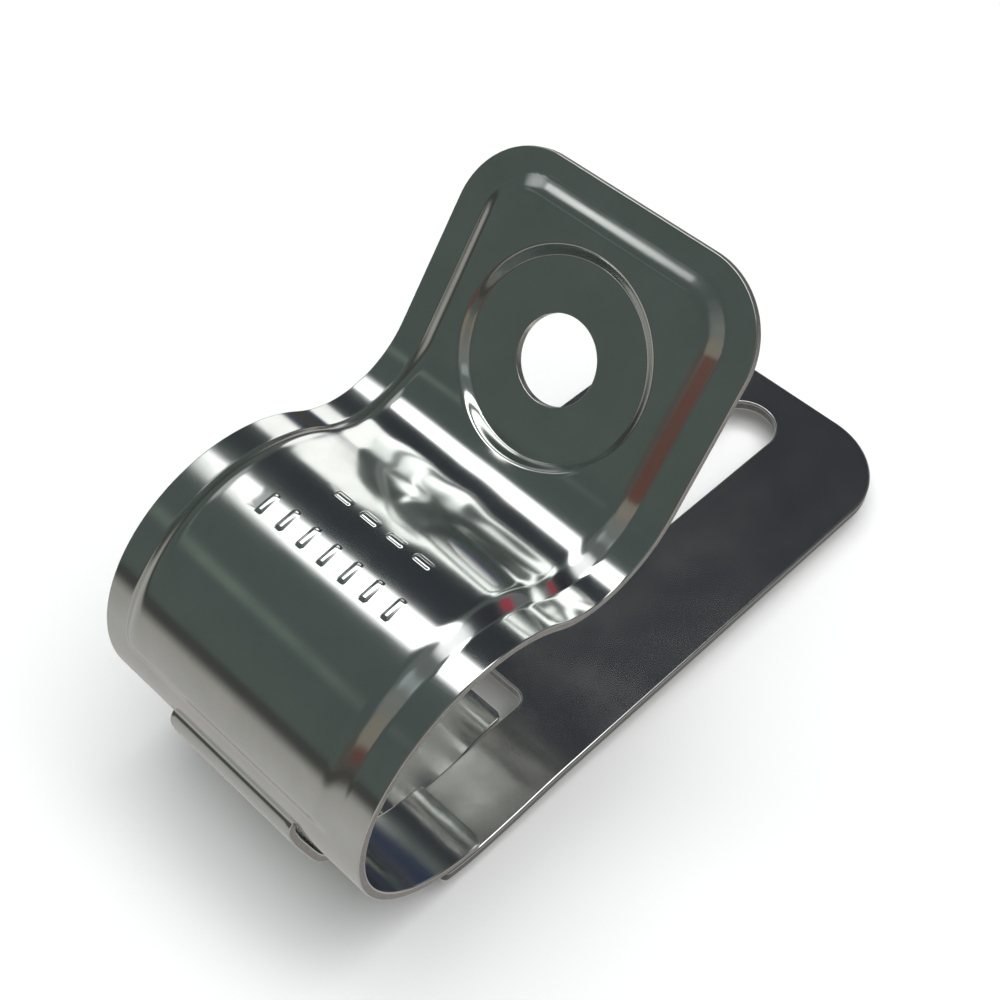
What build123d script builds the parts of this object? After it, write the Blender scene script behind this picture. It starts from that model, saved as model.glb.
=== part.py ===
from build123d import *
from math import sin, cos, radians, degrees, sqrt, atan2, asin
import os

# Open pipe clamp of stamped stainless sheet: a saddle strap with a bolt flange,
# hung on a slotted base plate by an interlaced hook hinge.
#
# Frame: origin on the axis of the clamped pipe, half way along it.
# +Y runs along the pipe axis, +X along the base plate away from the saddle,
# +Z from the base plate towards the saddle.
# Angle "a" on the saddle is measured at the pipe axis from straight down (-Z),
# growing towards -X and up over the top.

# ---------------------------------------------------------------- dimensions
WIDTH = 37.5              # width of both sheets along the pipe
PIPE_R = 15.9             # seat radius for a 31.8 mm tube
T_STRAP = 1.0             # strap sheet
T_PLATE = 1.5             # base plate sheet

# strap
A_LEG_END = -1.0          # end of the two side legs
A_SPLIT = 80.0            # where the slits between legs and tongue start
A_RELIEF_0 = 95.0         # raised panel starts to rise here
A_RELIEF_1 = 105.0        # raised panel at full height here
A_ARC_END = 214.3         # end of the saddle arc
BEND_R = 11.56            # inner face radius of the reverse bend
BEND_TURN = 91.1          # turn of the reverse bend
FLANGE_L = 24.05          # straight flange
FLANGE_CORNER_R = 9.0
RELIEF_H = 1.1            # height of the raised panel
RIM_W = 3.1               # flat rim outside the raised panel
RELIEF_SLOPE_W = 2.2      # plan width of the sloping wall
RIM_END_W = 2.3           # rim at the flange end
BOLT_R = 4.7              # bolt hole in the flange
BOLT_FROM_END = 17.6      # hole centre to flange end
SEAT_R_TOP = 11.6         # round washer seat pressed back into the panel
SEAT_R_FLOOR = 10.3
SEAT_DEPTH = 0.9

# strap tongue
TONGUE_HALF_W = 9.1
SLIT_HALF_W = 9.4         # inner edge of the side legs, and of the plate window
TONGUE_R = 19.6           # inner face radius where it passes under the hook bar
A_TONGUE_JOG = 38.0       # end of the concentric run
TONGUE_JOG = [            # (saddle angle, inner face radius) from there up to the split
    (42.0, 19.45),
    (47.0, 18.9),
    (53.0, 18.2),
    (59.0, 17.72),
    (65.0, 17.41),
    (70.0, 17.185),
    (72.67, 17.081),
    (73.65, 17.008),
    (74.40, 16.894),
    (75.04, 16.730),
    (75.56, 16.532),
    (76.13, 16.344),
    (76.95, 16.156),
    (77.90, 16.015),
    (78.93, 15.929),
]
TONGUE_TIP_X = 13.2
TONGUE_TIP_DROP = 0.1     # tip below the plate's top face

# base plate
PLATE_TOP = -16.5         # top face height
PLATE_END_X = 76.8
PLATE_CORNER_R = 10.5
DIP_START_X = 14.5        # gentle step down towards the hook
DIP_END_X = 1.5
HOOK_R = 17.05            # upper face radius of the hook bar and heel
A_HEEL_END = 17.0         # rear edge of the heel
WINDOW_X0 = -3.0          # front face of the hook bar
WINDOW_X1 = 16.7
WINDOW_CORNER_R = 1.6
SLOT_W = 8.3
SLOT_X0 = 35.0
SLOT_X1 = 71.75

HALF_W = WIDTH / 2


# ------------------------------------------------------------------- helpers
def on_circle(r, a):
    """Point (x, z) at radius r and saddle angle a, in degrees."""
    return (-r * sin(radians(a)), -r * cos(radians(a)))


class SheetPath:
    """Side view of a bent sheet: lines, arcs and blends, offset to the left."""

    def __init__(self, x, z, heading, t):
        self.x, self.z, self.h, self.t = x, z, heading, t
        self.base, self.off = [], []
        self.start = (self.x, self.z), self._left()

    def _left(self):
        h = radians(self.h)
        return (self.x - sin(h) * self.t, self.z + cos(h) * self.t)

    def line(self, length):
        h = radians(self.h)
        b0, o0 = (self.x, self.z), self._left()
        self.x += cos(h) * length
        self.z += sin(h) * length
        self.base.append(Line(b0, (self.x, self.z)))
        self.off.append(Line(o0, self._left()))
        return self

    def arc(self, radius, turn):
        """turn > 0 turns left, towards the offset side."""
        s = 1 if turn > 0 else -1
        h = radians(self.h)
        cx = self.x - sin(h) * radius * s
        cz = self.z + cos(h) * radius * s

        def at(r, k):
            g = radians(self.h + turn * k)
            return (cx + sin(g) * r * s, cz - cos(g) * r * s)

        ro = radius - self.t * s
        self.base.append(ThreePointArc(at(radius, 0), at(radius, 0.5), at(radius, 1)))
        self.off.append(ThreePointArc(at(ro, 0), at(ro, 0.5), at(ro, 1)))
        self.x, self.z = at(radius, 1)
        self.h += turn
        return self

    def through(self, points, heading):
        """Smooth run through points, leaving at a given heading."""
        h0, h1 = radians(self.h), radians(heading)
        t0, t1 = (cos(h0), sin(h0)), (cos(h1), sin(h1))
        edge = Spline((self.x, self.z), *points, tangents=(t0, t1))
        self.x, self.z = points[-1]
        self.h = heading
        self.base.append(edge)
        off = []
        n = 72
        for i in range(n + 1):
            p, d = edge @ (i / n), edge % (i / n)
            off.append((p.X - d.Y * self.t, p.Y + d.X * self.t))
        off[-1] = self._left()
        self.off.append(Spline(*off, tangents=(t0, t1)))
        return self

    def face(self):
        edges = list(self.base) + list(self.off)
        edges.append(Line(self.start[0], self.start[1]))
        edges.append(Line((self.x, self.z), self._left()))
        flat = make_face(Wire(Wire.combine(edges)[0].edges()).edges())
        return Plane.XZ * flat


def band(path, y0, y1):
    """The sheet path as a solid between two y values."""
    face = path.face()
    # Plane.XZ looks along -Y, so positive extrusion runs towards -Y
    solid = extrude(face, amount=(y1 - y0), dir=(0, 1, 0))
    return Pos(0, y0, 0) * solid


def block(x0, x1, y0, y1, z0, z1):
    return Pos((x0 + x1) / 2, (y0 + y1) / 2, (z0 + z1) / 2) * Box(x1 - x0, y1 - y0, z1 - z0)


def relief_points(r_in, h, out=1):
    """Section of the embossed sheet in (radial, y), r_in at the rim's inner face."""
    t = T_STRAP
    yf = HALF_W - RIM_W
    yt = yf - RELIEF_SLOPE_W
    # the inner face steps a little nearer the middle, so the wall keeps its thickness
    k = t * 0.42
    outer = [(r_in + out * t, HALF_W), (r_in + out * t, yf), (r_in + out * (t + h), yt)]
    inner = [(r_in, HALF_W), (r_in, yf - k), (r_in + out * h, yt - k)]
    top = outer + [(r, -y) for r, y in reversed(outer)]
    bottom = [(r, -y) for r, y in inner] + [(r, y) for r, y in reversed(inner)]
    return top + bottom


def section_face(pl, pts):
    return pl * make_face(Polyline(*pts, close=True))


def arc_plane(a):
    """Plane through the pipe axis at angle a: local x radial, local y = +Y."""
    er = (-sin(radians(a)), 0, -cos(radians(a)))
    zd = (cos(radians(a)), 0, -sin(radians(a)))
    return Plane(origin=(0, 0, 0), x_dir=er, z_dir=zd)


# ------------------------------------------------------------- saddle strap
# raised part of the saddle, turned about the pipe axis
saddle = revolve(
    section_face(arc_plane(A_RELIEF_1), relief_points(PIPE_R, RELIEF_H)),
    axis=Axis.Y,
    revolution_arc=A_ARC_END - A_RELIEF_1,
)

# the panel's lower end, where the relief fades into the plain arc
fade = None
steps = 5
for i in range(steps):
    a0 = A_RELIEF_0 + (A_RELIEF_1 - A_RELIEF_0) * i / steps
    a1 = A_RELIEF_0 + (A_RELIEF_1 - A_RELIEF_0) * (i + 1) / steps
    k0, k1 = i / steps, (i + 1) / steps
    h0 = RELIEF_H * (3 * k0**2 - 2 * k0**3)
    h1 = RELIEF_H * (3 * k1**2 - 2 * k1**3)
    piece = loft(
        [
            section_face(arc_plane(a0), relief_points(PIPE_R, h0 if i else 0.002)),
            section_face(arc_plane(a1), relief_points(PIPE_R, h1)),
        ],
        ruled=True,
    )
    fade = piece if fade is None else fade + piece

# plain arc above the slits, full width
px, pz = on_circle(PIPE_R, A_SPLIT)
plain = band(SheetPath(px, pz, 180 - A_SPLIT, T_STRAP).arc(PIPE_R, -(A_RELIEF_0 - A_SPLIT)), -HALF_W, HALF_W)

# side legs
px, pz = on_circle(PIPE_R, A_LEG_END)
leg_path = SheetPath(px, pz, 180 - A_LEG_END, T_STRAP).arc(PIPE_R, -(A_SPLIT - A_LEG_END))
legs = band(leg_path, SLIT_HALF_W, HALF_W) + band(leg_path, -HALF_W, -SLIT_HALF_W)

# tongue: from its tip in the plate window, under the hook bar, up the outside
tip_z = PLATE_TOP - TONGUE_TIP_DROP
drop = tip_z + TONGUE_R
s_len = TONGUE_TIP_X
s_rad = (s_len**2 + drop**2) / (4 * drop)
s_turn = degrees(2 * atan2(drop, s_len))
tongue_path = SheetPath(TONGUE_TIP_X, tip_z, 180, T_STRAP)
# the base face is the inner one, so the sheet hangs below it
tongue_path.arc(s_rad, s_turn).arc(s_rad, -s_turn).arc(TONGUE_R, -A_TONGUE_JOG)
jx, jz = on_circle(PIPE_R, A_SPLIT)
tongue_path.through([on_circle(r, a) for a, r in TONGUE_JOG] + [(jx, jz)], 180 - A_SPLIT)
tongue = band(tongue_path, -TONGUE_HALF_W, TONGUE_HALF_W)

# reverse bend, turned about its own axis
bcx, bcz = on_circle(PIPE_R + BEND_R, A_ARC_END)
ux, uz = on_circle(1, A_ARC_END)
bend_plane = Plane(
    origin=(bcx, 0, bcz), x_dir=(-ux, 0, -uz), z_dir=(-cos(radians(A_ARC_END)), 0, sin(radians(A_ARC_END)))
)
bend = revolve(
    section_face(bend_plane, relief_points(BEND_R, RELIEF_H, out=-1)),
    axis=Axis((bcx, 0, bcz), (0, -1, 0)),
    revolution_arc=BEND_TURN,
)

# flange
head = radians(180 - A_ARC_END + BEND_TURN)
fdx, fdz = cos(head), sin(head)
fnx, fnz = -sin(head), cos(head)
fsx, fsz = bcx + fnx * -BEND_R, bcz + fnz * -BEND_R
# local frame of the flange: x along the flange, y along -Y, z outward, on the rim's inner face
flange_plane = Plane(origin=(fsx, 0, fsz), x_dir=(fdx, 0, fdz), z_dir=(fnx, 0, fnz))


def end_rounded(length, half, r, x0=0.0):
    """Rectangle from x0 to length, with its two far corners rounded."""
    with BuildSketch() as sk:
        with BuildLine():
            Polyline((x0, -half), (length - r, -half))
            ThreePointArc(
                (length - r, -half),
                (length - r + r * sin(radians(45)), -half + r - r * cos(radians(45))),
                (length, -half + r),
            )
            Line((length, -half + r), (length, half - r))
            ThreePointArc(
                (length, half - r),
                (length - r + r * sin(radians(45)), half - r + r * cos(radians(45))),
                (length - r, half),
            )
            Polyline((length - r, half), (x0, half), (x0, -half))
        make_face()
    return sk.sketch


def frustum(z0, z1, l0, w0, r0, l1, w1, r1, x0):
    return loft(
        [Pos(0, 0, z0) * end_rounded(l0, w0, r0, x0), Pos(0, 0, z1) * end_rounded(l1, w1, r1, x0)],
        ruled=True,
    )


yf = HALF_W - RIM_W
yt = yf - RELIEF_SLOPE_W
k = T_STRAP * 0.42
lf = FLANGE_L - RIM_END_W
lt = lf - RELIEF_SLOPE_W
rf = FLANGE_CORNER_R - 2.6
rt = rf - RELIEF_SLOPE_W + 0.6
flange = extrude(end_rounded(FLANGE_L, HALF_W, FLANGE_CORNER_R), amount=T_STRAP)
flange += frustum(T_STRAP, T_STRAP + RELIEF_H, lf, yf, rf, lt, yt, rt, 0)
flange += extrude(end_rounded(lf, yf, rf), amount=T_STRAP)
flange -= frustum(0, RELIEF_H, lf - k, yf - k, rf - k, lt - k, yt - k, rt - k, 0)
hole_x = FLANGE_L - BOLT_FROM_END
flange = flange_plane * flange

strap = flange + bend + saddle + fade + plain + legs + tongue

# washer seat: a flat round floor pressed back through the panel and the start
# of the bend, so its wall is tallest on the bend side
floor_z = RELIEF_H - SEAT_DEPTH
MIN = (Align.CENTER, Align.CENTER, Align.MIN)
ex, ez = on_circle(PIPE_R - 3, A_ARC_END)
envelope = band(
    SheetPath(ex, ez, 180 - A_ARC_END, 3 + T_STRAP + RELIEF_H).arc(BEND_R + 3, BEND_TURN).line(FLANGE_L), -16, 16
)
under = Pos(hole_x, 0, floor_z) * Cone(SEAT_R_FLOOR + 0.2, SEAT_R_TOP + 0.7, SEAT_DEPTH, align=MIN)
under += Pos(hole_x, 0, floor_z + SEAT_DEPTH) * Cylinder(SEAT_R_TOP + 0.7, 3, align=MIN)
over = Pos(hole_x, 0, floor_z + T_STRAP) * Cone(SEAT_R_FLOOR, SEAT_R_TOP, SEAT_DEPTH, align=MIN)
over += Pos(hole_x, 0, floor_z + T_STRAP + SEAT_DEPTH) * Cone(SEAT_R_TOP, SEAT_R_TOP + 0.4, 4, align=MIN)
strap += (flange_plane * under) & envelope
strap -= flange_plane * over
strap -= flange_plane * (Pos(hole_x, 0, 0) * Cylinder(BOLT_R, 10))

# --------------------------------------------------------------- base plate
dip = HOOK_R + PLATE_TOP          # how far the heel lies below the top face
d_len = DIP_START_X - DIP_END_X
d_rad = (d_len**2 + dip**2) / (4 * dip)
d_turn = degrees(2 * atan2(dip, d_len))
plate_path = SheetPath(PLATE_END_X, PLATE_TOP, 180, T_PLATE)
plate_path.line(PLATE_END_X - DIP_START_X).arc(d_rad, d_turn).arc(d_rad, -d_turn)
plate_path.line(DIP_END_X).arc(HOOK_R, -A_HEEL_END)
plate = band(plate_path, -HALF_W, HALF_W)

# window for the strap tongue, with the hook bar behind it
window = Pos((WINDOW_X0 + WINDOW_X1) / 2, 0, PLATE_TOP) * extrude(
    RectangleRounded(WINDOW_X1 - WINDOW_X0, 2 * SLIT_HALF_W, WINDOW_CORNER_R), amount=8, both=True
)
plate -= window

# long bolt slot
slot = Pos((SLOT_X0 + SLOT_X1) / 2, 0, PLATE_TOP) * extrude(
    SlotOverall(SLOT_X1 - SLOT_X0, SLOT_W), amount=8, both=True
)
plate -= slot

# rounded far corners
corner = block(PLATE_END_X - PLATE_CORNER_R, PLATE_END_X + 1, HALF_W - PLATE_CORNER_R, HALF_W + 1, -22, -10)
corner -= Pos(PLATE_END_X - PLATE_CORNER_R, HALF_W - PLATE_CORNER_R, -16) * Cylinder(PLATE_CORNER_R, 16)
plate -= corner
plate -= mirror(corner, about=Plane.XZ)

os.makedirs("parts", exist_ok=True)
for name, solid in {"saddle_strap": strap, "base_plate": plate}.items():
    solids = solid.solids()
    print(name, "solids", len(solids), "volume", round(sum(s.volume for s in solids), 2))
    export_step(solids[0] if len(solids) == 1 else solid, f"parts/{name}.step")
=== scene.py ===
import bpy
import math
import numpy as np
from mathutils import Matrix, Vector
from mathutils.geometry import delaunay_2d_cdt


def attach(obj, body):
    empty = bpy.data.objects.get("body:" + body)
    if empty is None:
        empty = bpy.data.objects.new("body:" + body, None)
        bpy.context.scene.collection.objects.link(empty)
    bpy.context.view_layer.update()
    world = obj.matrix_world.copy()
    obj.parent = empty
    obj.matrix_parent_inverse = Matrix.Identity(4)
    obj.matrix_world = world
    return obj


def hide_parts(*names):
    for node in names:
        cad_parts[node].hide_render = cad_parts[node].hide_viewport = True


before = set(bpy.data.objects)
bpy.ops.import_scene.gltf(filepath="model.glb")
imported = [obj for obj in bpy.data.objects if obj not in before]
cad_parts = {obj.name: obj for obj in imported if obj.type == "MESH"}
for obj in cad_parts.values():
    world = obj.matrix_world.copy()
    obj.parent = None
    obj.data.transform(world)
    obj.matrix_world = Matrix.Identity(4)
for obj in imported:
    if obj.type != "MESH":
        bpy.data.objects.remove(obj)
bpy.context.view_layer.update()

MM = 0.001

# ------------------------------------------------------------------ sizes, mm
HW = 18.75
PIPE_R, T_STRAP, T_PLATE = 15.9, 1.0, 1.5
A_LEG_END, A_SPLIT, A_REL0, A_REL1, A_ARC_END = -1.0, 80.0, 95.0, 105.0, 214.3
BEND_R, BEND_TURN, FLANGE_L, FLANGE_CR = 11.56, 91.1, 24.05, 9.0
RELIEF_H, RIM_W, RIM_END_W, RELIEF_CR = 1.1, 3.1, 2.3, 6.4
BOLT_R, HOLE_X = 4.7, 24.05 - 17.6
SEAT_R0, SEAT_R1, SEAT_FLOOR = 10.3, 11.6, 0.2
TONGUE_HW, SLIT_HW, TONGUE_R, A_JOG, TIP_X, TIP_Z = 9.1, 9.4, 19.6, 38.0, 13.2, -16.6
JOG = ((42, 19.45), (47, 18.9), (53, 18.2), (59, 17.72), (65, 17.41), (70, 17.185), (72.67, 17.081), (73.65, 17.008),
       (74.40, 16.894), (75.04, 16.730), (75.56, 16.532), (76.13, 16.344), (76.95, 16.156), (77.90, 16.015), (78.93, 15.929))
PLATE_TOP, PLATE_END_X, PLATE_CR = -16.5, 76.8, 10.5
DIP0, DIP1, HOOK_R, A_HEEL = 14.5, 1.5, 17.05, 17.0
WIN0, WIN1, WIN_CR = -3.0, 16.7, 1.6
SLOT_HW, SLOT_X0, SLOT_X1 = 4.15, 35.0, 71.75


def smooth(x, a, b):
    t = np.clip((np.asarray(x, float) - a) / (b - a), 0, 1)
    return t * t * t * (t * (6 * t - 15) + 10)


# -------------------------------------------------------- side view of a sheet
class Path:
    """Side view of a bent sheet: points every 0.05 mm with their heading."""

    def __init__(self, start, heading, kappa, ds=0.02):
        n = len(kappa)
        h = math.radians(heading) + np.concatenate([[0], np.cumsum(kappa[:-1]) * ds])
        hm = h + 0.5 * ds * kappa
        x = start[0] + np.concatenate([[0], np.cumsum(np.cos(hm[:-1]) * ds)])
        z = start[1] + np.concatenate([[0], np.cumsum(np.sin(hm[:-1]) * ds)])
        self.s = np.arange(n) * ds
        self.x, self.z, self.h = x, z, h

    def at(self, s):
        return np.interp(s, self.s, self.x), np.interp(s, self.s, self.z), np.interp(s, self.s, self.h)


def kappa_runs(runs, soft=0.0, ds=0.02):
    """Curvature along a list of (length, turn in degrees), with its steps softened over soft mm."""
    parts = []
    for length, turn in runs:
        n = max(1, int(round(length / ds)))
        parts.append(np.full(n, math.radians(turn) / (n * ds)))
    k = np.concatenate(parts + [parts[-1][-1:]])
    if soft > 0:
        m = int(4 * soft / ds)
        g = np.exp(-0.5 * (np.arange(-m, m + 1) * ds / soft) ** 2)
        g /= g.sum()
        k = np.convolve(np.concatenate([np.full(m, k[0]), k, np.full(m, k[-1])]), g, "valid")
    return k


def on_circle(r, a):
    return (-r * math.sin(math.radians(a)), -r * math.cos(math.radians(a)))


U_LEG = PIPE_R * math.radians(A_SPLIT - A_LEG_END)      # legs run from u = -U_LEG to 0
U_ARC = PIPE_R * math.radians(A_ARC_END - A_SPLIT)
U_BEND = U_ARC + BEND_R * math.radians(BEND_TURN)
U_END = U_BEND + FLANGE_L
main_path = Path(
    on_circle(PIPE_R, A_LEG_END), 180 - A_LEG_END,
    kappa_runs([(U_LEG + U_ARC, -(A_ARC_END - A_LEG_END)), (BEND_R * math.radians(BEND_TURN), BEND_TURN), (FLANGE_L, 0)], 0.55),
)

# tongue: tip, two opposite arcs, concentric run, blend into the saddle
drop = TIP_Z + TONGUE_R
t_rad = (TIP_X**2 + drop**2) / (4 * drop)
t_turn = math.degrees(2 * math.atan2(drop, TIP_X))
lead = Path((TIP_X, TIP_Z), 180, kappa_runs([(t_rad * math.radians(t_turn), t_turn), (t_rad * math.radians(t_turn), -t_turn), (TONGUE_R * math.radians(A_JOG), -A_JOG)], 0.25))
p0, h0 = np.array([lead.x[-1], lead.z[-1]]), lead.h[-1]
p1, h1 = np.array(on_circle(PIPE_R, A_SPLIT)), math.radians(180 - A_SPLIT)


def clamped_spline(pts, d0, d1, n=40):
    """Cubic spline through points with given end directions, as dense points."""
    pts = np.asarray(pts, float)
    s = np.concatenate([[0], np.cumsum(np.hypot(*np.diff(pts, axis=0).T))])
    m = len(pts)
    A, rhs = np.zeros((m, m)), np.zeros((m, 2))
    A[0, 0] = A[-1, -1] = 1
    rhs[0], rhs[-1] = d0, d1
    for i in range(1, m - 1):
        l, r = s[i] - s[i - 1], s[i + 1] - s[i]
        A[i, i - 1:i + 2] = [r, 2 * (l + r), l]
        rhs[i] = 3 * (r * (pts[i] - pts[i - 1]) / l + l * (pts[i + 1] - pts[i]) / r)
    D = np.linalg.solve(A, rhs)
    out = []
    for i in range(m - 1):
        L_ = s[i + 1] - s[i]
        q = np.linspace(0, 1, n, endpoint=False)[:, None]
        out.append((2 * q**3 - 3 * q**2 + 1) * pts[i] + (q**3 - 2 * q**2 + q) * D[i] * L_
                   + (-2 * q**3 + 3 * q**2) * pts[i + 1] + (q**3 - q**2) * D[i + 1] * L_)
    return np.concatenate(out + [pts[-1:]])


her = clamped_spline([p0] + [on_circle(r, a) for a, r in JOG] + [p1], (math.cos(h0), math.sin(h0)), (math.cos(h1), math.sin(h1)))
tx = np.concatenate([lead.x[:-1], her[:, 0]])
tz = np.concatenate([lead.z[:-1], her[:, 1]])
ts = np.concatenate([[0], np.cumsum(np.hypot(np.diff(tx), np.diff(tz)))])
U_TONGUE = ts[-1]
th = np.unwrap(np.arctan2(np.gradient(tz, ts), np.gradient(tx, ts)))

# base plate, from its far end to the heel
dip = HOOK_R + PLATE_TOP
d_len = DIP0 - DIP1
d_rad = (d_len**2 + dip**2) / (4 * dip)
d_turn = math.degrees(2 * math.atan2(dip, d_len))
plate_runs = [(PLATE_END_X - DIP0, 0), (d_rad * math.radians(d_turn), d_turn), (d_rad * math.radians(d_turn), -d_turn), (DIP1, 0), (HOOK_R * math.radians(A_HEEL), -A_HEEL)]
plate_path = Path((PLATE_END_X, PLATE_TOP), 180, kappa_runs(plate_runs, 0.5))
V_END = sum(r[0] for r in plate_runs)

# --------------------------------------------------------------- height fields
_d = np.linspace(-0.5, 4.0, 901)
_slope = smooth(_d, -0.15, 0.5) * (1 - smooth(_d, 0.9, 3.0))
_rise = np.cumsum(_slope)
_rise /= _rise[-1]
_slope2 = smooth(_d, -0.15, 0.2) * (0.91 + 0.09 * smooth(_d, 0.3, 0.8)) * (1 - smooth(_d, 1.0, 2.6))
_rise2 = np.cumsum(_slope2)
_rise2 /= _rise2[-1]
_r = np.linspace(9.6, 12.8, 641)
_wall = smooth(_r, 10.2, 10.7) * (1 - smooth(_r, 10.95, 12.0))
_fall = 1 - np.cumsum(_wall) / _wall.sum()


def wave(u, y, seed, scale):
    """Slow waviness of the rolled and pressed sheet, about -1 to 1."""
    rng = np.random.RandomState(seed)
    out = 0
    for _ in range(7):
        a, b, c = rng.uniform(-1, 1), rng.uniform(-1, 1), rng.uniform(0, 6.283)
        k = rng.uniform(0.6, 1.4) * 6.283 / scale
        n = math.hypot(a, b) + 1e-9
        out = out + np.sin((a * u + b * y) / n * k + c)
    return out / 3.5


def bar(u, y, cu, cy, hu, hy, r):
    """1 inside a rounded bar, falling to 0 over r outside it."""
    qx = np.maximum(np.abs(u - cu) - hu, 0)
    qy = np.maximum(np.abs(y - cy) - hy, 0)
    return 1 - smooth(np.hypot(qx, qy), 0.0, r)


MARK_A, MARK_B = 25.3, 30.4
marks = [(MARK_A, -8.7 + 2.9 * i, 0.85, 0.12, 0.40) for i in range(7)]
marks += [(MARK_B, -6.6 + 3.6 * i, 0.12, 0.80, 0.40) for i in range(4)]


def strap_height(u, y):
    qx = np.abs(y) - (HW - RIM_W - RELIEF_CR)
    qy = u - (U_BEND + FLANGE_L - RIM_END_W - RELIEF_CR)
    sd = np.hypot(np.maximum(qx, 0), np.maximum(qy, 0)) + np.minimum(np.maximum(qx, qy), 0) - RELIEF_CR
    f = np.interp(-sd, _d, _rise, left=0, right=1)
    f = f + (np.interp(-sd, _d, _rise2, left=0, right=1) - f) * smooth(qy - qx, -1.5, 2.5)
    ua = PIPE_R * math.radians(A_REL0 - A_SPLIT)
    ub = PIPE_R * math.radians(A_REL1 - A_SPLIT)
    h = RELIEF_H * f * smooth(u, ua - 0.6, ub + 0.6)
    # generic raised marks
    m = 0
    for mk in marks:
        m = np.maximum(m, bar(u, y, *mk))
    h = h + 0.16 * m
    # pressed waviness and a shallow hollow between the marks and the bend
    inside = smooth(-sd, 0.5, 4.0) * smooth(u, 1.0, 9.0) * (1 - smooth(u, U_BEND - 6, U_BEND + 1))
    h = h + 0.012 * wave(u, y, 5, 21.0) * inside
    # the stretched sheet between saddle and bend is flatter on one side
    flat = smooth(y, -6.0, 0.0) * (1 - 0.45 * np.exp(-((y - 1.6) / 2.4) ** 2))
    q = (u - 37.4) / 3.1
    h = h + 0.27 * q * np.exp(0.5 - 0.5 * q * q) * flat * inside
    # round seat
    v = (U_BEND - u) / BEND_R
    vb = np.clip(v, 0, 1.2)
    xp = np.where(v > 0, -(BEND_R - 0.6) * np.sin(vb), u - U_BEND)
    r = np.hypot(xp - HOLE_X, y)
    seat = (SEAT_FLOOR - BEND_R * (1 - np.cos(vb))) / np.cos(vb)
    # faint crease where the floor was pressed flat over the start of the bend
    seat = seat + 0.022 * np.maximum(-0.3 - xp, 0)
    g = np.interp(r, _r, _fall, left=1, right=0)
    return h * (1 - g) + seat * g


def plate_height(v, y):
    return 0.012 * wave(v, y, 11, 23.0)


def strap_at(u, y, w, tongue):
    xa, za, ha = main_path.at(np.maximum(u, -U_LEG) + U_LEG)
    st = np.clip(u + U_TONGUE, 0, U_TONGUE)
    xb, zb, hb = np.interp(st, ts, tx), np.interp(st, ts, tz), np.interp(st, ts, th)
    use = tongue & (u < 0)
    x, z, h = np.where(use, xb, xa), np.where(use, zb, za), np.where(use, hb, ha)
    off = w + np.where(u > 0, strap_height(u, y), 0.0)
    return np.stack([x - np.sin(h) * off, y, z + np.cos(h) * off], -1)


def plate_at(v, y, w, _):
    x, z, h = plate_path.at(v)
    off = w + plate_height(v, y)
    return np.stack([x - np.sin(h) * off, y, z + np.cos(h) * off], -1)


# ------------------------------------------------------------------- outlines
def rounded(points, step=0.3):
    """Closed outline through (u, y, corner radius) points, sampled about every step mm."""
    n = len(points)
    out = []
    for i in range(n):
        p = np.array(points[i][:2], float)
        a = np.array(points[i - 1][:2], float)
        b = np.array(points[(i + 1) % n][:2], float)
        r = points[i][2]
        da, db = (a - p) / np.linalg.norm(a - p), (b - p) / np.linalg.norm(b - p)
        ang = math.acos(max(-1, min(1, float(da @ db))))
        back = r / math.tan(ang / 2)
        s, e = p + da * back, p + db * back
        bis = (da + db) / np.linalg.norm(da + db)
        c = p + bis * (r / math.sin(ang / 2))
        a0 = math.atan2(*(s - c)[::-1])
        a1 = math.atan2(*(e - c)[::-1])
        turn = (a1 - a0 + math.pi) % (2 * math.pi) - math.pi
        k = max(5, int(abs(turn) * r / min(step, 0.3)) + 1)
        for j in range(k + 1):
            g = a0 + turn * j / k
            out.append(c + r * np.array([math.cos(g), math.sin(g)]))
    out = np.array(out)
    dense = []
    for i in range(len(out)):
        a, b = out[i], out[(i + 1) % len(out)]
        m = max(1, int(np.linalg.norm(b - a) / step))
        for j in range(m):
            dense.append(a + (b - a) * j / m)
    return np.array(dense)


def ring(cu, cy, r, step=0.25):
    n = int(2 * math.pi * r / step)
    a = np.arange(n) * 2 * math.pi / n
    return np.stack([cu + r * np.cos(a), cy + r * np.sin(a)], -1)


def inside(pts, loop):
    """Which points are inside a closed loop."""
    x, y = pts[:, 0], pts[:, 1]
    res = np.zeros(len(pts), bool)
    x0, y0 = loop[:, 0], loop[:, 1]
    x1, y1 = np.roll(x0, -1), np.roll(y0, -1)
    for a, b, c, d in zip(x0, y0, x1, y1):
        if b == d:
            continue
        hit = (y > min(b, d)) & (y <= max(b, d))
        if hit.any():
            xi = a + (y - b) * (c - a) / (d - b)
            res ^= hit & (x < xi)
    return res


def loop_out(loop, solid_inside):
    """Unit directions in the outline's plane that point out of the sheet."""
    t = np.roll(loop, -1, 0) - np.roll(loop, 1, 0)
    t /= np.linalg.norm(t, axis=1)[:, None] + 1e-12
    n = np.stack([t[:, 1], -t[:, 0]], -1)
    area = 0.5 * np.sum(loop[:, 0] * np.roll(loop[:, 1], -1) - np.roll(loop[:, 0], -1) * loop[:, 1])
    if area < 0:
        n = -n
    return n if solid_inside else -n


def grid(u0, u1, du, y0, y1, dy):
    u = np.arange(u0, u1, du)
    y = np.arange(y0, y1, dy)
    g = np.stack(np.meshgrid(u, y, indexing="ij"), -1).reshape(-1, 2)
    return g


def far_from(pts, loops, d):
    keep = np.ones(len(pts), bool)
    for loop in loops:
        for i in range(0, len(pts), 4000):
            c = pts[i:i + 4000]
            dd = ((c[:, None, :] - loop[None, :, :]) ** 2).sum(-1).min(1)
            keep[i:i + 4000] &= dd > d * d
    return keep


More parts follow.
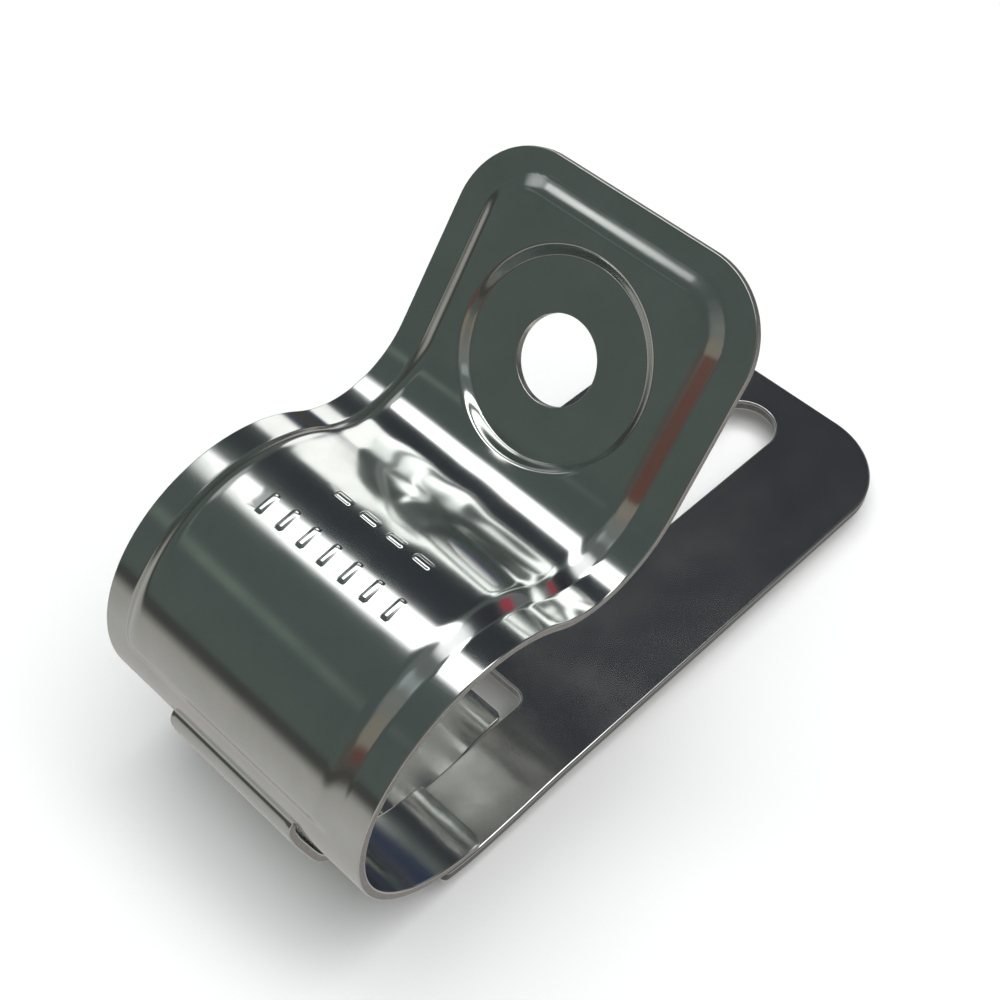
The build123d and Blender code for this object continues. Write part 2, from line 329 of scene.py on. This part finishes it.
def sheet_mesh(name, outer, holes, at, t, layers, edge=0.16, tongue_test=None):
    """A closed sheet with rounded cut edges, from its outline in the sheet's own flat coordinates."""
    loops = [(outer, loop_out(outer, True))] + [(h, loop_out(h, False)) for h in holes]
    inset = [l - n * edge for l, n in loops]
    pts = []
    for layer, cell in layers:
        ok = inside(layer, inset[0])
        for h in inset[1:]:
            ok &= ~inside(layer, h)
        p = layer[ok]
        p = p[far_from(p, inset, 0.16)]
        if pts:
            have = set(map(tuple, np.round(np.concatenate(pts) / cell).astype(int)))
            near = np.array([any((a + i, b + j) in have for i in (-1, 0, 1) for j in (-1, 0, 1)) for a, b in np.round(p / cell).astype(int)])
            p = p[~near] if len(p) else p
        pts.append(p)
    inner_pts = np.concatenate(pts)
    bnd, edges, start = [], [], 0
    for l in inset:
        n = len(l)
        bnd.append(l)
        edges += [(start + i, start + (i + 1) % n) for i in range(n)]
        start += n
    allp = np.concatenate(bnd + [inner_pts])
    res = delaunay_2d_cdt([Vector(p) for p in allp.tolist()], edges, [], 0, 1e-7, True)
    vo, _, fo, orig, _, _ = res
    # the triangulation keeps every input point; index back to the input
    back = np.array([o[0] if len(o) else -1 for o in orig])
    if (back < 0).any():
        raise ValueError(f"{name}: the triangulation added points")
    tri = back[np.array(fo)]
    cen = allp[tri].mean(1)
    ok = inside(cen, inset[0])
    for h in inset[1:]:
        ok &= ~inside(cen, h)
    tri = tri[ok]
    a, b, c = allp[tri[:, 0]], allp[tri[:, 1]], allp[tri[:, 2]]
    ar = (b[:, 0] - a[:, 0]) * (c[:, 1] - a[:, 1]) - (c[:, 0] - a[:, 0]) * (b[:, 1] - a[:, 1])
    tri = tri[np.abs(ar) > 1e-9]
    ar = ar[np.abs(ar) > 1e-9]
    tri = np.where((ar < 0)[:, None], tri[:, ::-1], tri)

    tg = (lambda p: tongue_test(p)) if tongue_test else (lambda p: np.zeros(len(p), bool))

    def frame_at(p, w, flag):
        e = 0.02
        u, y = p[:, 0], p[:, 1]
        P = at(u, y, w, flag)
        du = at(u + e, y, w, flag) - at(u - e, y, w, flag)
        dy = at(u, y + e, w, flag) - at(u, y - e, w, flag)
        n = np.cross(dy, du)          # points to the side that w grows to
        n /= np.linalg.norm(n, axis=1)[:, None] + 1e-12
        return P, n, du, dy

    n = len(allp)
    flag = tg(allp)
    Pt, Nt, _, _ = frame_at(allp, np.full(n, t), flag)
    Pb, Nb, _, _ = frame_at(allp, np.zeros(n), flag)
    chk = np.sum((Pt - Pb) * Nt, axis=1)
    sgn = 1.0 if np.median(chk) > 0 else -1.0
    verts, norms = [Pt, Pb], [Nt * sgn, -Nb * sgn]
    faces = []
    # orientation of (u, y) triangles on the top side
    v0, v1, v2 = Pt[tri[:, 0]], Pt[tri[:, 1]], Pt[tri[:, 2]]
    face_n = np.cross(v1 - v0, v2 - v0)
    flip = np.median(np.sum(face_n * Nt[tri[:, 0]] * sgn, axis=1)) < 0
    top = tri[:, ::-1] if flip else tri
    faces.append(top)
    faces.append(tri[:, ::-1] + n if not flip else tri + n)
    sheared = [np.zeros(2 * len(tri), np.int32)]
    base = 2 * n
    start = 0
    K = 4
    for (loop, out), ins in zip(loops, inset):
        m = len(loop)
        rows = [np.arange(start, start + m)]
        prof = []
        for i in range(1, K + 1):
            a = math.radians(90 * i / K)
            prof.append((edge * (1 - math.sin(a)), t - edge * (1 - math.cos(a)), a, 1))
        prof.append((0.0, t * 0.5, math.pi / 2, 0))
        for i in range(K, 0, -1):
            a = math.radians(90 * i / K)
            prof.append((edge * (1 - math.sin(a)), edge * (1 - math.cos(a)), a, -1))
        lf = tg(ins)
        for back_in, w, a, side in prof:
            p = loop - out * back_in
            P, Nn, du, dy = frame_at(p, np.full(m, w), lf)
            d3 = du * out[:, :1] + dy * out[:, 1:]
            d3 /= np.linalg.norm(d3, axis=1)[:, None] + 1e-12
            N3 = Nn * sgn * math.cos(a) * side + d3 * math.sin(a)
            N3 /= np.linalg.norm(N3, axis=1)[:, None]
            rows.append(np.arange(base, base + m))
            verts.append(P)
            norms.append(N3)
            base += m
        rows.append(np.arange(start, start + m) + n)
        start += m
        for j, (r0, r1) in enumerate(zip(rows[:-1], rows[1:])):
            q0, q1 = np.roll(r0, -1), np.roll(r1, -1)
            f = np.concatenate([np.stack([r0, q0, q1], -1), np.stack([r0, q1, r1], -1)])
            V = np.concatenate(verts)
            fn = np.cross(V[f[:, 1]] - V[f[:, 0]], V[f[:, 2]] - V[f[:, 0]])
            NN = np.concatenate(norms)
            if np.median(np.sum(fn * NN[f[:, 0]], axis=1) + np.sum(fn * NN[f[:, 2]], axis=1)) < 0:
                f = f[:, ::-1]
            faces.append(f)
            # the rounded corners keep the bright face, only the side is sheared
            sheared.append(np.full(len(f), 1 if j in (K, K + 1) else 0, np.int32))
    V = np.concatenate(verts) * MM
    N = np.concatenate(norms)
    F = np.concatenate(faces)
    me = bpy.data.meshes.new(name)
    me.vertices.add(len(V))
    me.vertices.foreach_set("co", V.astype(np.float32).ravel())
    me.loops.add(len(F) * 3)
    me.loops.foreach_set("vertex_index", F.astype(np.int32).ravel())
    me.polygons.add(len(F))
    me.polygons.foreach_set("loop_start", np.arange(0, len(F) * 3, 3, dtype=np.int32))
    me.polygons.foreach_set("material_index", np.concatenate(sheared))
    me.polygons.foreach_set("use_smooth", np.ones(len(F), bool))
    me.update(calc_edges=True)
    me.validate()
    me.normals_split_custom_set_from_vertices(N.astype(np.float32).tolist())
    ob = bpy.data.objects.new(name, me)
    bpy.context.scene.collection.objects.link(ob)
    print(name, "vertices", len(V), "triangles", len(F))
    return ob


# ------------------------------------------------------------------ strap mesh
c = 0.5
slit = 0.14
strap_outline = rounded([
    (U_END, -HW, FLANGE_CR), (U_END, HW, FLANGE_CR),
    (-U_LEG, HW, 0.8), (-U_LEG, SLIT_HW, 0.5), (0.0, SLIT_HW, slit), (0.0, TONGUE_HW, slit),
    (-U_TONGUE, TONGUE_HW, 0.8), (-U_TONGUE, -TONGUE_HW, 0.8), (0.0, -TONGUE_HW, slit), (0.0, -SLIT_HW, slit),
    (-U_LEG, -SLIT_HW, 0.5), (-U_LEG, -HW, 0.8),
])
y_fine = np.concatenate([np.arange(-16.1, -12.2, 0.17), np.arange(12.3, 16.2, 0.17)])
rim_grid = np.stack(np.meshgrid(np.arange(3.2, U_END, 0.55), y_fine, indexing="ij"), -1).reshape(-1, 2)
end_grid = grid(U_END - 7.5, U_END - 0.3, 0.17, -16.4, 16.5, 0.42)
corner_grid = np.concatenate([grid(U_END - 9.6, U_END - 1.6, 0.22, 8.6, 16.6, 0.22), grid(U_END - 9.6, U_END - 1.6, 0.22, -16.6, -8.6, 0.22)])
ra = np.arange(9.9, 12.45, 0.16)
ring_pts = np.concatenate([ring(U_BEND + HOLE_X, 0, r, 0.36) for r in ra])
mark_pts = np.concatenate([grid(MARK_A - 1.4, MARK_A + 1.45, 0.15, -9.3, 9.3, 0.14), grid(MARK_B - 0.65, MARK_B + 0.7, 0.14, -7.9, 5.5, 0.16)])
base_grid = grid(-U_TONGUE, U_END, 0.62, -HW, HW, 0.62)
strap = sheet_mesh(
    "saddle_strap_sheet", strap_outline, [ring(U_BEND + HOLE_X, 0, BOLT_R)], strap_at, T_STRAP,
    [(ring_pts, 0.15), (mark_pts, 0.15), (corner_grid, 0.19), (end_grid, 0.22), (rim_grid, 0.2), (base_grid, 0.42)],
    tongue_test=lambda p: (np.abs(p[:, 1]) < 0.5 * (TONGUE_HW + SLIT_HW)) & (p[:, 0] < 0.0),
)

# ------------------------------------------------------------------ plate mesh
def v_of(x):
    """Flat coordinate of a point x on the plate."""
    return float(np.interp(-x, -plate_path.x, plate_path.s))


plate_outline = rounded([(0.0, -HW, PLATE_CR), (0.0, HW, PLATE_CR), (V_END, HW, 0.6), (V_END, -HW, 0.6)])
window = rounded([(v_of(WIN1), -SLIT_HW, WIN_CR), (v_of(WIN1), SLIT_HW, WIN_CR), (v_of(WIN0), SLIT_HW, 0.8), (v_of(WIN0), -SLIT_HW, 0.8)])
slot_hole = rounded([(v_of(SLOT_X1), -SLOT_HW, SLOT_HW - 0.001), (v_of(SLOT_X1), SLOT_HW, SLOT_HW - 0.001), (v_of(SLOT_X0), SLOT_HW, SLOT_HW - 0.001), (v_of(SLOT_X0), -SLOT_HW, SLOT_HW - 0.001)])
plate = sheet_mesh(
    "base_plate_sheet", plate_outline, [window, slot_hole], plate_at, T_PLATE,
    [(grid(0, V_END, 0.75, -HW, HW, 0.75), 0.4)], edge=0.28,
)


# ------------------------------------------------------------------- materials
def nodes_of(mat):
    mat.use_nodes = True
    nt = mat.node_tree
    nt.nodes.clear()
    return nt


def bright_sheet(name, base, tint, rough, grain_axis, mottle):
    mat = bpy.data.materials.new(name)
    nt = nodes_of(mat)
    N, L = nt.nodes, nt.links
    out = N.new("ShaderNodeOutputMaterial")
    b = N.new("ShaderNodeBsdfPrincipled")
    L.new(b.outputs[0], out.inputs[0])
    b.inputs["Metallic"].default_value = 1.0
    tc = N.new("ShaderNodeTexCoord")
    # fine rolling grain
    mp = N.new("ShaderNodeMapping")
    mp.inputs["Scale"].default_value = grain_axis
    L.new(tc.outputs["Object"], mp.inputs[0])
    grain = N.new("ShaderNodeTexNoise")
    grain.inputs["Scale"].default_value = 900.0
    grain.inputs["Detail"].default_value = 4.0
    L.new(mp.outputs[0], grain.inputs["Vector"])
    # handling marks and faint stain
    stain = N.new("ShaderNodeTexNoise")
    stain.inputs["Scale"].default_value = 140.0
    stain.inputs["Detail"].default_value = 6.0
    stain.inputs["Roughness"].default_value = 0.62
    L.new(tc.outputs["Object"], stain.inputs["Vector"])
    ramp = N.new("ShaderNodeValToRGB")
    ramp.color_ramp.elements[0].position = 0.35
    ramp.color_ramp.elements[0].color = (*base, 1)
    ramp.color_ramp.elements[1].position = 0.75
    ramp.color_ramp.elements[1].color = (*tint, 1)
    L.new(stain.outputs["Fac"], ramp.inputs[0])
    L.new(ramp.outputs[0], b.inputs["Base Color"])
    ro = N.new("ShaderNodeMapRange")
    ro.inputs["From Min"].default_value = 0.3
    ro.inputs["From Max"].default_value = 0.75
    ro.inputs["To Min"].default_value = rough[0]
    ro.inputs["To Max"].default_value = rough[1]
    L.new(stain.outputs["Fac"], ro.inputs["Value"])
    L.new(ro.outputs[0], b.inputs["Roughness"])
    # orange peel and grain in the bump
    peel = N.new("ShaderNodeTexNoise")
    peel.inputs["Scale"].default_value = mottle[0]
    peel.inputs["Detail"].default_value = 3.0
    L.new(tc.outputs["Object"], peel.inputs["Vector"])
    b1 = N.new("ShaderNodeBump")
    b1.inputs["Strength"].default_value = mottle[1]
    b1.inputs["Distance"].default_value = 0.0001
    L.new(peel.outputs["Fac"], b1.inputs["Height"])
    b2 = N.new("ShaderNodeBump")
    b2.inputs["Strength"].default_value = mottle[2]
    b2.inputs["Distance"].default_value = 0.00002
    L.new(grain.outputs["Fac"], b2.inputs["Height"])
    L.new(b1.outputs[0], b2.inputs["Normal"])
    L.new(b2.outputs[0], b.inputs["Normal"])
    return mat


def cut_edge(name, dark, light):
    mat = bpy.data.materials.new(name)
    nt = nodes_of(mat)
    N, L = nt.nodes, nt.links
    out = N.new("ShaderNodeOutputMaterial")
    b = N.new("ShaderNodeBsdfPrincipled")
    L.new(b.outputs[0], out.inputs[0])
    b.inputs["Metallic"].default_value = 1.0
    tc = N.new("ShaderNodeTexCoord")
    torn = N.new("ShaderNodeTexNoise")
    torn.inputs["Scale"].default_value = 2200.0
    torn.inputs["Detail"].default_value = 5.0
    L.new(tc.outputs["Object"], torn.inputs["Vector"])
    ramp = N.new("ShaderNodeValToRGB")
    ramp.color_ramp.elements[0].color = (*dark, 1)
    ramp.color_ramp.elements[1].color = (*light, 1)
    L.new(torn.outputs["Fac"], ramp.inputs[0])
    L.new(ramp.outputs[0], b.inputs["Base Color"])
    ro = N.new("ShaderNodeMapRange")
    ro.inputs["To Min"].default_value = 0.22
    ro.inputs["To Max"].default_value = 0.5
    L.new(torn.outputs["Fac"], ro.inputs["Value"])
    L.new(ro.outputs[0], b.inputs["Roughness"])
    bp = N.new("ShaderNodeBump")
    bp.inputs["Strength"].default_value = 0.2
    bp.inputs["Distance"].default_value = 0.00005
    L.new(torn.outputs["Fac"], bp.inputs["Height"])
    L.new(bp.outputs[0], b.inputs["Normal"])
    return mat


strap_mat = bright_sheet("bright_strap_steel", (0.70, 0.72, 0.70), (0.62, 0.64, 0.62), (0.10, 0.17), (1, 0.06, 1), (260.0, 0.03, 0.08))
plate_mat = bright_sheet("bright_plate_steel", (0.67, 0.67, 0.655), (0.56, 0.565, 0.55), (0.13, 0.21), (0.06, 1, 1), (320.0, 0.04, 0.012))
strap_edge = cut_edge("sheared_strap_edge", (0.20, 0.19, 0.18), (0.62, 0.61, 0.59))
plate_edge = cut_edge("sheared_plate_edge", (0.07, 0.07, 0.07), (0.30, 0.30, 0.29))
for ob, mat, edge_mat, body, node, slot in ((strap, strap_mat, strap_edge, "strap", "saddle_strap", "strap_steel"), (plate, plate_mat, plate_edge, "plate", "base_plate", "plate_steel")):
    ob.data.materials.append(mat)
    ob.data.materials.append(edge_mat)
    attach(ob, body)
    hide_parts(node)

# ----------------------------------------------------------------------- stage
FLOOR_Z = -0.0207
bpy.ops.mesh.primitive_circle_add(vertices=128, radius=0.9, fill_type="NGON", location=(0.03, 0, FLOOR_Z))
floor = bpy.context.object
floor.name = "floor"
fm = bpy.data.materials.new("floor_paper")
nt = nodes_of(fm)
o = nt.nodes.new("ShaderNodeOutputMaterial")
d = nt.nodes.new("ShaderNodeBsdfDiffuse")
nt.links.new(d.outputs[0], o.inputs[0])
d.inputs[0].default_value = (0.93, 0.93, 0.93, 1)
floor.data.materials.append(fm)
floor.visible_glossy = False

bpy.context.scene.view_settings.view_transform = "Standard"
bpy.context.scene.cycles.sample_clamp_indirect = 2.0   # double reflections between strap and plate

world = bpy.data.worlds.new("studio")
bpy.context.scene.world = world
world.use_nodes = True
wn = world.node_tree
wn.nodes.clear()
WN, WL = wn.nodes, wn.links
wo = WN.new("ShaderNodeOutputWorld")
tcw = WN.new("ShaderNodeTexCoord")
sepw = WN.new("ShaderNodeSeparateXYZ")
WL.new(tcw.outputs["Generated"], sepw.inputs[0])


def direction(az, el):
    a, e = math.radians(az), math.radians(el)
    return Vector((math.cos(e) * math.cos(a), math.cos(e) * math.sin(a), math.sin(e)))


def smooth_step(value, lo, hi):
    """0 below lo, 1 above hi, smooth between."""
    m = WN.new("ShaderNodeMapRange")
    m.interpolation_type = "SMOOTHSTEP"
    m.inputs["From Min"].default_value = lo
    m.inputs["From Max"].default_value = hi
    WL.new(value, m.inputs["Value"])
    return m.outputs[0]


def mix(fac, a, b):
    m = WN.new("ShaderNodeMix")
    m.data_type = "RGBA"
    WL.new(fac, m.inputs["Factor"])
    for sock, v in ((m.inputs[6], a), (m.inputs[7], b)):
        if isinstance(v, tuple):
            sock.default_value = (*v, 1)
        else:
            WL.new(v, sock)
    return m.outputs[2]


def multiply(a, b):
    m = WN.new("ShaderNodeMath")
    m.operation = "MULTIPLY"
    WL.new(a, m.inputs[0])
    if isinstance(b, float):
        m.inputs[1].default_value = b
    else:
        WL.new(b, m.inputs[1])
    return m.outputs[0]


def patch(colour, az, el, r_in, r_out, value):
    """Blends a soft round patch of the room into the world's colour."""
    d = WN.new("ShaderNodeVectorMath")
    d.operation = "DOT_PRODUCT"
    WL.new(tcw.outputs["Generated"], d.inputs[0])
    d.inputs[1].default_value = direction(az, el)
    f = smooth_step(d.outputs["Value"], math.cos(math.radians(r_out)), math.cos(math.radians(r_in)))
    return mix(f, colour, value)


# room: dark green-grey walls, lighter table below the horizon, a few softer regions
wall = (0.096, 0.118, 0.106)
col = mix(smooth_step(sepw.outputs["Z"], 0.10, 0.62), wall, (0.088, 0.108, 0.104))
col = patch(col, 30, 50, 10, 26, (0.040, 0.044, 0.052))
col = patch(col, -125, 42, 6, 22, (0.21, 0.215, 0.205))
col = patch(col, -100, 62, 8, 26, (0.15, 0.165, 0.165))
col = patch(col, -113, 51, 3, 8, (0.36, 0.41, 0.41))
col = patch(col, -160, 6, 8, 26, (0.105, 0.095, 0.085))
col = patch(col, -8, 17, 8, 20, (0.17, 0.18, 0.19))
col = patch(col, -32, 35, 5, 15, (0.035, 0.036, 0.045))
col = patch(col, 3, 12, 8, 18, (0.48, 0.48, 0.49))
col = patch(col, 23, 7, 10, 16, (0.036, 0.046, 0.078))
col = patch(col, 23, -5, 6, 12, (0.050, 0.062, 0.10))
col = patch(col, 48, 5, 5, 13, (0.17, 0.175, 0.185))
col = patch(col, 84, 44, 5, 17, (0.52, 0.53, 0.54))
col = patch(col, -62, 47, 7, 15, (1.25, 1.25, 1.27))
col = patch(col, -22, 20, 1, 6, (0.42, 0.05, 0.075))
col = patch(col, -137, 23, 8, 15, (0.25, 0.23, 0.19))
col = patch(col, -142, 8.5, 4, 8.5, (0.145, 0.070, 0.058))
# thin pale strip along the far wall
strip = multiply(smooth_step(sepw.outputs["Z"], 0.53, 0.59), smooth_step(sepw.outputs["Z"], 0.67, 0.61))
side = WN.new("ShaderNodeVectorMath")
side.operation = "DOT_PRODUCT"
WL.new(tcw.outputs["Generated"], side.inputs[0])
side.inputs[1].default_value = direction(128, 36)
strip = multiply(multiply(strip, smooth_step(side.outputs["Value"], 0.93, 0.99)), 0.60)
col = mix(strip, col, (0.21, 0.26, 0.215))
# dark skirting just above the table, then the table
col = mix(smooth_step(sepw.outputs["Z"], 0.03, -0.02), col, (0.062, 0.062, 0.058))
col = mix(smooth_step(sepw.outputs["Z"], -0.10, -0.26), col, (0.40, 0.385, 0.365))
col = mix(smooth_step(sepw.outputs["Z"], -0.22, -0.60), col, (0.47, 0.455, 0.44))


def calc(op, a, b):
    m = WN.new("ShaderNodeMath")
    m.operation = op
    for sock, v in zip(m.inputs, (a, b)):
        if isinstance(v, (int, float)):
            sock.default_value = v
        else:
            WL.new(v, sock)
    return m.outputs[0]


# overhead diffuser: a long panel above the part, turned 17 degrees, with soft edges
up = calc("MAXIMUM", sepw.outputs["Z"], 0.02)
px, py = calc("DIVIDE", sepw.outputs["X"], up), calc("DIVIDE", sepw.outputs["Y"], up)
c17, s17 = math.cos(math.radians(17)), math.sin(math.radians(17))
across = calc("ADD", calc("MULTIPLY", px, c17), calc("MULTIPLY", py, s17))
along = calc("SUBTRACT", calc("MULTIPLY", py, c17), calc("MULTIPLY", px, s17))
ac, al = 0.275 * c17 + 0.017 * s17, 0.017 * c17 - 0.275 * s17
panel = multiply(smooth_step(across, ac - 0.235, ac - 0.115), smooth_step(across, ac + 0.215, ac + 0.125))
panel = multiply(panel, multiply(smooth_step(along, al - 0.80, al - 0.58), smooth_step(along, al + 0.76, al + 0.58)))
panel = multiply(panel, smooth_step(sepw.outputs["Z"], 0.1, 0.3))
col = mix(panel, col, (2.8, 2.8, 2.8))
# low window beyond the flange side
d = WN.new("ShaderNodeVectorMath")
d.operation = "DOT_PRODUCT"
WL.new(tcw.outputs["Generated"], d.inputs[0])
d.inputs[1].default_value = direction(36, 18)
low = smooth_step(d.outputs["Value"], math.cos(math.radians(12.5)), math.cos(math.radians(9.0)))
col = mix(low, col, (1.4, 1.4, 1.38))
bg = WN.new("ShaderNodeBackground")
WL.new(col, bg.inputs[0])
bg.inputs[1].default_value = 1.0
pale = WN.new("ShaderNodeBackground")
pale.inputs[0].default_value = (0.93, 0.93, 0.93, 1)
pale.inputs[1].default_value = 1.0
lp = WN.new("ShaderNodeLightPath")
mx = WN.new("ShaderNodeMixShader")
WL.new(lp.outputs["Is Camera Ray"], mx.inputs[0])
WL.new(bg.outputs[0], mx.inputs[1])
WL.new(pale.outputs[0], mx.inputs[2])
WL.new(mx.outputs[0], wo.inputs[0])


def softbox(name, at, size, radiance, color=(1, 1, 1), aim=(0, 0, 0), roll=0.0, shown=True):
    """A rectangular softbox, given by its place, size in metres and brightness."""
    li = bpy.data.lights.new(name, "AREA")
    li.shape = "RECTANGLE"
    li.size, li.size_y = size
    li.energy = radiance * math.pi * size[0] * size[1]
    li.color = color
    ob = bpy.data.objects.new(name, li)
    at, aim = Vector(at), Vector(aim)
    ob.location = at
    q = (at - aim).to_track_quat("Z", "Y")
    ob.rotation_euler = (q @ Matrix.Rotation(math.radians(roll), 3, "Z").to_quaternion()).to_euler()
    ob.visible_glossy = shown
    bpy.context.scene.collection.objects.link(ob)
    return ob


# broad light for the floor only, so that the paper stays pale
softbox("floor_fill", (-0.1, -0.1, 1.3), (1.6, 1.6), 2.2, shown=False)

# ---------------------------------------------------------------------- camera
cam_data = bpy.data.cameras.new("camera")
cam = bpy.data.objects.new("camera", cam_data)
bpy.context.scene.collection.objects.link(cam)
bpy.context.scene.camera = cam
cam_data.sensor_width = 36.0
cam_data.lens = 58.2414
cam_data.clip_start = 0.005
cam_data.clip_end = 10
CAM_MATRIX = Matrix((
    (0.69692360, 0.52687347, -0.48652014, -0.06202950),
    (-0.71586371, 0.55164320, -0.42805248, -0.07278962),
    (0.04285603, 0.64660199, 0.76162276, 0.13608965),
    (0.0, 0.0, 0.0, 1.0),
))
cam.matrix_world = CAM_MATRIX
